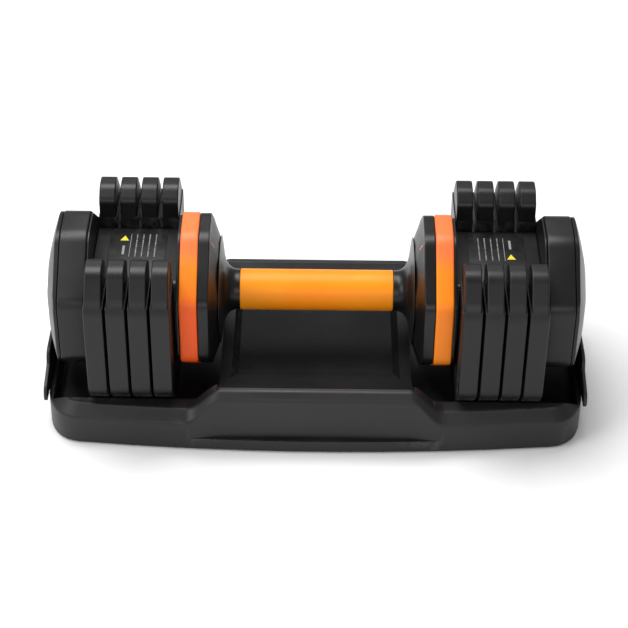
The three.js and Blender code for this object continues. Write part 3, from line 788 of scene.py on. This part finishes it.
def buildCover(side, sign):
    low, high = spanOf("end_cover_right")
    start, rise = low[0], high[0] - low[0]
    loop = headLoop(coverSettings["inset"])
    reach = headHalf["top"] + coverSettings["reach"]
    flat = coverSettings["edgeHeight"]

    def domeAt(ring):
        radius = np.minimum(np.linalg.norm(ring, axis=1), reach)
        return start + flat + (rise - flat) * (1 - (radius / reach) ** 2)

    edge = coverSettings["edge"]
    rings = [ringAt(insetLoop(loop, 0.4), start), ringAt(loop, start + 0.3)]
    top = domeAt(loop)
    for step in range(5):
        share = step / 4
        ring = insetLoop(loop, edge * share ** 2) if step else loop
        rings.append(ringAt(ring, (top - edge * 0.6) * (1 - share ** 0.5) + domeAt(ring) * share ** 0.5))
    inner = insetLoop(loop, edge + 0.8)
    rings.append(ringAt(inner, domeAt(inner)))
    middle = circleLike(loop, coverSettings["middle"])
    for step in range(1, coverSettings["rings"] + 1):
        ring = blendLoops(inner, middle, step / coverSettings["rings"])
        rings.append(ringAt(ring, domeAt(ring)))
    mesh = stackMesh(rings, side=sign)
    place("endCover." + side, mesh, "core", "end_cover_" + side, "black_plastic", headFinish)


# the bridge through the plates' slots, its label and the marks on it

bridgeSettings = {
    "top": 34.7, "bottom": 27.0, "wall": 3.0, "corner": 6.0, "footCorner": 2.0, "edge": 0.8,
    "hookHole": {"back": 9.0, "front": 1.0, "half": 5.0},
}
labelSettings = {
    # x and along are measured from the label plate's middle
    "edge": 0.15, "ink": 0.12, "sunk": 0.02, "along": 13.0, "half": 17.0,
    "lines": {"count": 4, "x": 1.5, "step": 5.4, "dashes": 12, "dashStep": 2.85, "dash": 2.5, "width": 1.0},
    "triangle": {"x": 12.0, "v": 11.0, "base": 7.5, "height": 7.5}, "rule": {"x": 6.6, "width": 0.45},
    "title": {"x": 12.0, "v": -7.0, "width": 2.0, "length": 13.0},
}


def prismX(loop, x0, x1):
    loop = np.array(loop, float)
    return stackMesh([ringAt(loop, x0), ringAt(loop, x1)])


def buildBridge(side, sign):
    low, high = spanOf("bridge_housing_right")
    half = high[1]
    setting = bridgeSettings
    corners = [
        (-half, -setting["bottom"], setting["footCorner"]), (half, -setting["bottom"], setting["footCorner"]),
        (half, setting["top"]), (-half, setting["top"]),
    ]
    loop = roundedLoop(corners, setting["corner"], 8, hold=0.4)
    outer = stackMesh(edgeRings(loop, low[0], high[0], setting["edge"]))
    wall, axis = setting["wall"], axisHeight
    cutters = [boxMesh(
        (low[0] + wall, -half + wall, axis - setting["bottom"] + wall),
        (high[0] - wall, half - wall, axis + setting["top"] - wall),
    )]
    for number in range(1, 5):
        hookHigh = spanOf("plate_hook_right_%d" % number)[1]
        floorLow, hole = axis - setting["bottom"], setting["hookHole"]
        cutters.append(boxMesh(
            (hookHigh[0] - hole["back"], -hole["half"], floorLow - 1),
            (hookHigh[0] + hole["front"], hole["half"], floorLow + wall + 1),
        ))
    cutters.append(boxMesh(labelLow - (0.3, 0.3, 0.1), labelHigh + (0.3, 0.3, 1)))
    for radius, x0, x1 in (
        (tubeRadius + boreRoom, low[0] - 1, low[0] + wall + 1),
        (shaftRadius + boreRoom, high[0] - wall - 1, high[0] + 1),
    ):
        cutters.append(prismX(circlePoints(radius, 64), x0, x1))
    mesh = combine(outer, cutters)
    if sign < 0:
        mesh = mirroredX(mesh)
    node = "bridge_housing_" + side
    place("bridgeHousing." + side, mesh, "core", node, "black_plastic", headFinish, even=True)


# a geometry nodes tree that repeats one box in a grid, with named sizes

def gridTree():
    tree = bpy.data.node_groups.new("boxGrid", "GeometryNodeTree")
    tree.is_modifier = True
    sockets = {}
    for label, kind, value in (
        ("Columns", "NodeSocketInt", 4), ("Rows", "NodeSocketInt", 9),
        ("Step A", "NodeSocketVector", (0, 0.01, 0)), ("Step B", "NodeSocketVector", (0.01, 0, 0)),
        ("Start", "NodeSocketVector", (0, 0, 0)), ("Size", "NodeSocketVector", (0.01, 0.01, 0.001)),
        ("Shorten", "NodeSocketFloat", 0.0), ("Seed", "NodeSocketInt", 5),
        ("Finish", "NodeSocketMaterial", None),
    ):
        socket = tree.interface.new_socket(label, in_out="INPUT", socket_type=kind)
        if value is not None:
            socket.default_value = value
        sockets[label] = socket.identifier
    tree.interface.new_socket("Geometry", in_out="OUTPUT", socket_type="NodeSocketGeometry")
    node, link = tree.nodes.new, tree.links.new
    given, result = node("NodeGroupInput"), node("NodeGroupOutput")
    rows, columns = node("GeometryNodeMeshLine"), node("GeometryNodeMeshLine")
    for line, count, step in ((rows, "Rows", "Step B"), (columns, "Columns", "Step A")):
        line.mode = "OFFSET"
        link(given.outputs[count], line.inputs["Count"])
        link(given.outputs[step], line.inputs["Offset"])
    link(given.outputs["Start"], columns.inputs["Start Location"])
    spread = node("GeometryNodeInstanceOnPoints")
    link(columns.outputs[0], spread.inputs["Points"])
    link(rows.outputs[0], spread.inputs["Instance"])
    points = node("GeometryNodeRealizeInstances")
    link(spread.outputs[0], points.inputs[0])
    box = node("GeometryNodeMeshCube")
    link(given.outputs["Size"], box.inputs["Size"])
    number = node("FunctionNodeRandomValue")
    number.data_type = "FLOAT"
    number.inputs["Min"].default_value = 0.0
    link(given.outputs["Shorten"], number.inputs["Max"])
    link(given.outputs["Seed"], number.inputs["Seed"])
    less = node("ShaderNodeMath")
    less.operation = "SUBTRACT"
    less.inputs[0].default_value = 1.0
    link(number.outputs[1], less.inputs[1])
    scale = node("ShaderNodeCombineXYZ")
    scale.inputs[0].default_value = 1.0
    scale.inputs[2].default_value = 1.0
    link(less.outputs[0], scale.inputs[1])
    boxes = node("GeometryNodeInstanceOnPoints")
    link(points.outputs[0], boxes.inputs["Points"])
    link(box.outputs[0], boxes.inputs["Instance"])
    link(scale.outputs[0], boxes.inputs["Scale"])
    real, paint = node("GeometryNodeRealizeInstances"), node("GeometryNodeSetMaterial")
    link(boxes.outputs[0], real.inputs[0])
    link(real.outputs[0], paint.inputs["Geometry"])
    link(given.outputs["Finish"], paint.inputs["Material"])
    link(paint.outputs[0], result.inputs[0])
    return tree, sockets


boxGrid, boxGridSockets = gridTree()


def gridMesh(**values):
    maker = newPiece("maker", bpy.data.meshes.new("maker"))
    change = maker.modifiers.new("boxes", "NODES")
    change.node_group = boxGrid
    for key, value in values.items():
        change[boxGridSockets[key]] = value
    maker.update_tag()
    applyModifiers(maker)
    made = maker.data
    bpy.data.objects.remove(maker)
    return made



def buildLabel(side, sign):
    # marks are turned half round from one head to the other, so their order along Y flips with the side
    setting = labelSettings
    film = bevelled(boxMesh(labelLow, labelHigh), setting["edge"])
    if sign < 0:
        film = mirroredX(film)
    place("labelFilm." + side, film, "core", "label_plate_" + side, "label_film", filmFinish)
    centre = (labelLow + labelHigh) / 2
    top, flip, middle = labelHigh[2], -sign, centre[1] + setting["along"]
    lines = setting["lines"]
    firstY = middle - (lines["dashes"] - 1) / 2 * lines["dashStep"]
    marks = gridMesh(
        Columns=lines["count"], Rows=lines["dashes"], Seed=7, Shorten=0.6, Finish=whiteInk,
        Start=(sign * (centre[0] + lines["x"]) * mm, firstY * mm, top * mm),
        **{
            "Step A": (-sign * lines["step"] * mm, 0, 0), "Step B": (0, lines["dashStep"] * mm, 0),
            "Size": (lines["width"] * mm, lines["dash"] * mm, setting["ink"] * mm),
        },
    )
    place("labelLines." + side, marks, "core", None, "label_film", whiteInk)
    rule, title, warn = setting["rule"], setting["title"], setting["triangle"]
    low, high = top - setting["sunk"], top + setting["ink"] / 2
    for name, mark, y, length in (
        ("labelRule.", rule, middle, 2 * setting["half"]),
        ("labelTitle.", title, middle + flip * title["v"], title["length"]),
    ):
        x, half = sign * (centre[0] + mark["x"]), mark["width"] / 2
        mesh = boxMesh((x - half, y - length / 2, low), (x + half, y + length / 2, high))
        place(name + side, mesh, "core", None, "label_film", whiteInk)
    x, y = sign * (centre[0] + warn["x"]), middle + flip * warn["v"]
    halfBase, halfHeight = warn["base"] / 2, warn["height"] / 2
    corners = [(x - halfBase, y - halfHeight), (x + halfBase, y - halfHeight), (x, y + halfHeight)]
    verts = [(cx, cy, z) for z in (low, high) for cx, cy in corners]
    mesh = meshFrom(verts, [(2, 1, 0), (3, 4, 5), (0, 1, 4, 3), (1, 2, 5, 4), (2, 0, 3, 5)])
    place("labelTriangle." + side, mesh, "core", None, "label_film", yellowInk)


# a small coloured mark on each flange's slope shows the chosen setting

pointerSettings = {"lean": 17.0, "from": 56.0, "to": 62.0, "width": 1.5, "lift": 0.3, "sunk": 0.5}


def buildPointer(side, sign):
    setting = pointerSettings
    start = spanOf("flange_housing_right")[0][0]
    lean = math.radians(setting["lean"])
    outward = np.array((-math.sin(lean), math.cos(lean)))
    across = np.array((math.cos(lean), math.sin(lean)))
    half = setting["width"] / 2
    outline = []
    for end, turn in ((setting["to"] - half, 0.0), (setting["from"] + half, math.pi)):
        for step in range(9):
            angle = turn + math.pi * step / 8
            outline.append((end + half * math.sin(angle), half * math.cos(angle)))
    outline = np.array(outline)
    rings = []
    for grow, lift in ((1.0, -setting["sunk"]), (1.0, setting["lift"] - 0.1), (0.8, setting["lift"])):
        middle = np.array(((setting["from"] + setting["to"]) / 2, 0))
        spots = middle + (outline - middle) * (1 if grow == 1.0 else 0.93, grow)
        flat = spots[:, :1] * outward + spots[:, 1:] * across
        rings.append(ringAt(flat, slopeAt(np.linalg.norm(flat, axis=1), start) - lift))
    mesh = stackMesh(rings, side=sign)
    facingOut(mesh)
    place("pointerMark." + side, mesh, "core", None, "orange_plastic", pointerInk)


def facingOut(mesh):
    work = bmesh.new()
    work.from_mesh(mesh)
    bmesh.ops.recalc_face_normals(work, faces=work.faces)
    work.to_mesh(mesh)
    work.free()


# the eight plates share one mesh, moved along the axis and mirrored for the left head

def buildPlates():
    setting = plateShape
    low, high = spanOf("plate_right_1")
    side, thick = high[1], high[0] - low[0]
    flat, drop = setting["sideFlat"] / 2, setting["drop"]
    lobeOuter = side - (setting["lobeWidth"] - setting["lobeTopFlat"])
    lobeInner = lobeOuter - setting["lobeTopFlat"]
    foot = side - (drop - flat)
    slot = setting["slotHalf"]
    tall = [
        (foot, -drop), (side, -flat), (side, flat),
        (lobeOuter, setting["top"], 7), (lobeInner, setting["top"], 4),
        (slot, setting["top"] - setting["mouthDepth"], 4), (slot, setting["slotBottom"], 3),
    ]
    otherHalf = [(-p[0],) + tuple(p[1:]) for p in reversed(tall)]
    whole = roundedLoop(tall + otherHalf, setting["corner"], 10, hold=0.3)
    edge, thin = setting["edge"], setting["lobeThickness"] / 2
    full = stackMesh(edgeRings(insetLoop(whole, setting["lobeInset"]), -thin, thin, edge))
    step, far = axisHeight + flat, 2 * side
    body = combine(
        stackMesh(edgeRings(whole, -thick / 2, thick / 2, edge)),
        [boxMesh((-far, -far, step), (far, far, step + far))],
    )
    joined = combine(full, [body], "UNION")
    seat = setting["seat"]
    bottom = axisHeight + setting["slotBottom"]
    notch = boxMesh(
        (-seat["back"], -seat["half"], bottom - seat["depth"]),
        (seat["front"], seat["half"], bottom + seat["rise"]),
    )
    shape = combine(joined, [notch])
    mirrored = mirroredX(shape)
    for number in range(1, 5):
        for name, sign in (("right", 1), ("left", -1)):
            plateLow, plateHigh = spanOf("plate_%s_%d" % (name, number))
            mesh = shifted(shape if sign > 0 else mirrored, (plateLow[0] + plateHigh[0]) / 2)
            place(
                "plate.%s.%d" % (name, number), mesh, "plates_%d" % number, "plate_%s_%d" % (name, number),
                "black_coating", plateFinish, sharp=40, even=True,
            )


boredPieces = [
    ("accentRing", "accent_ring", bushRadius, ringSettings, "orange_plastic", ringFinish),
    ("backPlate", "back_plate", tubeRadius, backPlateSettings, "black_coating", plateFinish),
    ("innerCap", "inner_cap_plate", shaftRadius, innerCapSettings, "black_coating", plateFinish),
]
buildGrip()
for side, sign in (("left", -1), ("right", 1)):
    buildNeck(side, sign)
    buildFlange(side, sign)
    for name, node, around, setting, slot, finish in boredPieces:
        buildBored(name, node, side, sign, around + boreRoom, setting, slot, finish)
    buildEndWeight(side, sign)
    buildCover(side, sign)
    buildBridge(side, sign)
    buildLabel(side, sign)
    buildPointer(side, sign)
print("grip and heads are made")
buildPlates()
print("plates are made")


# the tray: a moulded shell cut from a few solids, with its long edges rounded

traySettings = {
    "footLift": 1.5, "floorTop": 11.7, "floorThickness": 3.2, "wall": 4.0,
    "corner": 36.0, "crown": 2.0, "bulge": 9.5, "steps": 10,
    "lobeRim": 36.6, "middleRim": 57.0, "rimChamfer": 8.8, "middleChamfer": 6.0,
    "rimFlat": 4.0, "lobeRimFlat": 2.0, "ledgeHeight": 12.0, "ledgeDepth": 4.5,
    "middleHalf": 78.0, "middleRun": 30.0, "sections": 25, "overlap": 0.4,
    "pocketGap": 2.0, "pocketStart": 80.5, "endWall": 7.6, "edge": 0.9,
    "troughHalf": 65.0, "troughWide": 45.0, "troughFloor": 38.0, "troughLean": 6.0,
}
endPlateSettings = {
    "wide": 146.0, "narrow": 84.0, "low": 25.0, "high": 54.0, "shoulder": 42.0, "edge": 0.7, "gap": 0.3,
}
ribSettings = {"thickness": 2.0, "height": 5.4, "length": 144.0, "across": 6, "step": 21.0, "first": 93.0}


def quadratic(start, control, end, steps):
    return [
        ((1 - t) ** 2 * start[0] + 2 * t * (1 - t) * control[0] + t * t * end[0],
         (1 - t) ** 2 * start[1] + 2 * t * (1 - t) * control[1] + t * t * end[1])
        for t in (step / steps for step in range(1, steps + 1))
    ]


def trayLoop(inset=0.0):
    high = spanOf("tray_shell")[1]
    setting = traySettings
    x = high[0] - inset - 0.02
    y = high[1] - setting["bulge"] - inset
    r = setting["corner"] - inset
    crown, bulge, steps = setting["crown"], setting["bulge"], setting["steps"]
    points = [(-x + r, -y)]
    for control, end, count in (
        ((0, -y - 2 * bulge), (x - r, -y), 2 * steps),
        ((x - crown * 2, -y), (x - crown, -y + r * 1.2), steps),
        ((x + crown, 0), (x - crown, y - r * 1.2), steps),
        ((x - crown * 2, y), (x - r, y), steps),
        ((0, y + 2 * bulge), (-x + r, y), 2 * steps),
        ((-x + crown * 2, y), (-x + crown, y - r * 1.2), steps),
        ((-x - crown, 0), (-x + crown, -y + r * 1.2), steps),
        ((-x + crown * 2, -y), (-x + r, -y), steps),
    ):
        points += quadratic(points[-1], control, end, count)
    return np.array(points[:-1])


def sideAt(x):
    high = spanOf("tray_shell")[1]
    straight = high[0] - traySettings["corner"]
    t = (x / straight + 1) / 2
    return high[1] - traySettings["bulge"] + 4 * traySettings["bulge"] * t * (1 - t)


def prismZ(loop, levels):
    rings = []
    for inset, z in levels:
        ring = insetLoop(loop, inset) if inset else loop
        rings.append(np.column_stack([ring, np.full(len(ring), z)]))
    return stackMesh(rings)


def prismY(loop, y0, y1):
    loop = np.array(loop, float)
    rings = [np.column_stack([loop[:, 0], np.full(len(loop), y), loop[:, 1]]) for y in (y1, y0)]
    return stackMesh(rings)


def prismTray(loop, x0, x1):
    loop = np.array(loop, float)
    return stackMesh([np.column_stack([np.full(len(loop), x), loop]) for x in (x0, x1)])


def endPlateLoop(grow=0.0):
    setting = endPlateSettings
    low, high = setting["wide"] / 2 + grow, setting["narrow"] / 2 + grow
    shoulder = setting["shoulder"]
    half = [
        (low, setting["low"] - grow, 3), (low, traySettings["lobeRim"] + grow, 8),
        (high + 10, shoulder + grow, 4), (high + 3, shoulder + grow + 2, 2),
        (high, setting["high"] + grow, 8),
    ]
    points = half + [(-y, z, own) for y, z, own in reversed(half)]
    return roundedLoop(points, 3, 8, hold=0.2)


def buildTray():
    setting = traySettings
    high = spanOf("tray_shell")[1]
    half, far = high[1], 400.0
    chamfer, lobeRim, middleRim = setting["rimChamfer"], setting["lobeRim"], setting["middleRim"]
    waist = lobeRim - chamfer
    body = prismZ(trayLoop(), [
        (0, setting["footLift"]), (0, waist - 2.2), (0.35, waist - 0.9), (1.3, waist + 0.6),
        (chamfer - 1.3, lobeRim - 2.0), (chamfer - 0.2, lobeRim - 0.5), (chamfer + 0.9, lobeRim),
    ])
    wall, edge = half - setting["ledgeDepth"], setting["middleChamfer"]
    end = setting["middleHalf"] + setting["middleRun"]
    shell = combine(body, [boxMesh((-end, -far, setting["ledgeHeight"]), (end, far, far))])
    rings = []
    flat, outerEnd = setting["middleHalf"], end + setting["overlap"]
    spans = ((-outerEnd, -flat), (flat, outerEnd))
    for x in np.concatenate([np.linspace(first, last, setting["sections"]) for first, last in spans]):
        share = min(max((abs(x) - flat) / setting["middleRun"], 0.0), 1.0)
        share = share * share * (3 - 2 * share)
        rim = middleRim + (lobeRim - middleRim) * share
        slant = edge + (chamfer - edge) * share
        side = wall + (sideAt(x) - wall) * share
        lean = 0.5 * (1 - share)
        section = roundedLoop([
            (-side, setting["footLift"], 0.2), (side, setting["footLift"], 0.2),
            (side - lean, rim - slant, 2.4), (side - slant, rim, 2.0),
            (-side + slant, rim, 2.0), (-side + lean, rim - slant, 2.4),
        ], 1, 6, hold=0.1)
        rings.append(np.column_stack([np.full(len(section), x), section]))
    shell = combine(shell, [stackMesh(rings)], "UNION")

    plateHigh = spanOf("plate_right_1")[1]
    side = plateHigh[1] + setting["pocketGap"]
    bend = axisHeight - plateShape["sideFlat"] / 2
    foot = plateHigh[1] - (plateShape["drop"] - plateShape["sideFlat"] / 2) + setting["pocketGap"]
    rimSide = half - setting["bulge"] - chamfer - setting["lobeRimFlat"]
    cut = bend - (side - rimSide)
    pocketLoop = roundedLoop([
        (-foot, setting["floorTop"], 2.5), (foot, setting["floorTop"], 2.5),
        (rimSide, cut, 1.5), (rimSide, far, 1), (-rimSide, far, 1), (-rimSide, cut, 1.5),
    ], 1, 4, hold=0.2)
    start, finishX = setting["pocketStart"], high[0] - setting["endWall"]
    cutters = [prismTray(pocketLoop, start, finishX), prismTray(pocketLoop, -finishX, -start)]

    rimInside = half - setting["ledgeDepth"] - edge - setting["rimFlat"]
    wide, floor = setting["troughWide"], setting["troughFloor"]
    cross = roundedLoop([
        (-wide, floor, 3), (wide, floor, 3), (rimInside, middleRim, 1), (rimInside, far, 1),
        (-rimInside, far, 1), (-rimInside, middleRim, 1),
    ], 1, 4, hold=0.2)
    shelf = spanOf("dial_neck_right")[0][2]
    base, beyond = setting["troughHalf"], start + 1
    leant = base + setting["troughLean"]
    long = [
        (-base, floor - 1), (base, floor - 1), (leant, shelf), (beyond, shelf), (beyond, far),
        (-beyond, far), (-beyond, shelf), (-leant, shelf),
    ]
    trough = combine(prismTray(cross, -beyond, beyond), [prismY(long, -far, far)], "INTERSECT")
    cutters.append(trough)

    under = setting["floorTop"] - setting["floorThickness"]
    cutters.append(prismZ(trayLoop(setting["wall"]), [(0, -1), (0, under)]))
    inset = start - setting["wall"]
    inner, roof = wall - setting["wall"], middleRim - edge - setting["wall"]
    belly = floor - setting["floorThickness"]
    raised = [(-inner, 0), (inner, 0), (inner, roof), (wide, belly), (-wide, belly), (-inner, roof)]
    cutters.append(prismTray(raised, -inset, inset))
    plateLoop = endPlateLoop(endPlateSettings["gap"])
    seat = spanOf("end_plate_right")[0][0] - endPlateSettings["gap"]
    cutters += [prismTray(plateLoop, seat, far), prismTray(plateLoop, -far, -seat)]
    shell = combine(shell, cutters)
    bosses = []
    for number in range(1, 5):
        footLow, footHigh = spanOf("tray_foot_%d" % number)
        centre = (footLow + footHigh) / 2
        ring = circlePoints(footHigh[0] - centre[0] + 2, 48) + centre[:2]
        bosses.append(prismZ(ring, [(0, footHigh[2] + 0.3), (0, under + 1.5)]))
    shell = combine(shell, bosses, "UNION")
    shell = tidied(shell)
    shell = bevelled(shell, setting["edge"], 32, 2)
    tray = place("trayShell", shell, "tray", "tray_shell", "black_plastic", trayFinish, 32, True)
    # trough faces under the grip take the darker copy as painted shade
    tray.data.materials.append(troughShadeFinish)
    reachX, reachY = start + 1.0, rimInside + 0.4
    for face in tray.data.polygons:
        x, y, z = face.center / mm
        if abs(x) < reachX and abs(y) < reachY and floor - 1 < z < middleRim - 0.3:
            face.material_index = 1


def tidied(mesh):
    work = bmesh.new()
    work.from_mesh(mesh)
    bmesh.ops.remove_doubles(work, verts=work.verts, dist=0.00012)
    bmesh.ops.dissolve_limit(work, angle_limit=math.radians(0.6), verts=work.verts, edges=work.edges)
    work.to_mesh(mesh)
    work.free()
    return mesh


footSettings = {
    # each pair is an inset, and a height above the low face or a depth below the top
    "lower": [(1.6, 0), (0.9, 0), (0.35, 0.15), (0.05, 0.5), (0, 1)], "upper": [(0, 0.4), (0.2, 0)],
}


def buildFeet():
    for number in range(1, 5):
        low, high = spanOf("tray_foot_%d" % number)
        centre = (low + high) / 2
        ring = circlePoints(high[0] - centre[0], 64) + centre[:2]
        levels = [(inset, low[2] + rise) for inset, rise in footSettings["lower"]]
        levels += [(inset, high[2] - depth) for inset, depth in footSettings["upper"]]
        mesh = prismZ(ring, levels)
        place("trayFoot.%d" % number, mesh, "tray", "tray_foot_%d" % number, "rubber", rubberFinish)


def buildEndPlate(side, sign):
    low, high = spanOf("end_plate_right")
    loop = endPlateLoop()
    rings = edgeRings(loop, low[0], high[0], endPlateSettings["edge"])
    rings = [ring - (0, 0, axisHeight) for ring in rings]
    mesh = stackMesh(rings, side=sign)
    place("endPlate." + side, mesh, "tray", "end_plate_" + side, "black_plastic", trayFinish)


def buildRibs():
    setting = ribSettings
    top = traySettings["floorTop"] - traySettings["floorThickness"] + 0.2
    middle = top - setting["height"] / 2
    for name, sign in (("right", 1), ("left", -1)):
        mesh = gridMesh(
            Columns=setting["across"], Rows=1, Seed=3, Finish=trayFinish,
            Start=(sign * setting["first"] * mm, 0, middle * mm),
            **{
                "Step A": (sign * setting["step"] * mm, 0, 0), "Step B": (0, 0, 0),
                "Size": (setting["thickness"] * mm, setting["length"] * mm, setting["height"] * mm),
            },
        )
        place("trayRibs." + name, mesh, "tray", None, "black_plastic", trayFinish)


buildTray()
buildFeet()
for side, sign in (("left", -1), ("right", 1)):
    buildEndPlate(side, sign)
buildRibs()
print("tray is made")

# the CAD's own solids that still show get a steel finish
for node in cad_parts.values():
    if not node.hide_render:
        node.data.materials.clear()
        node.data.materials.append(steelFinish)
print("steel parts are finished")
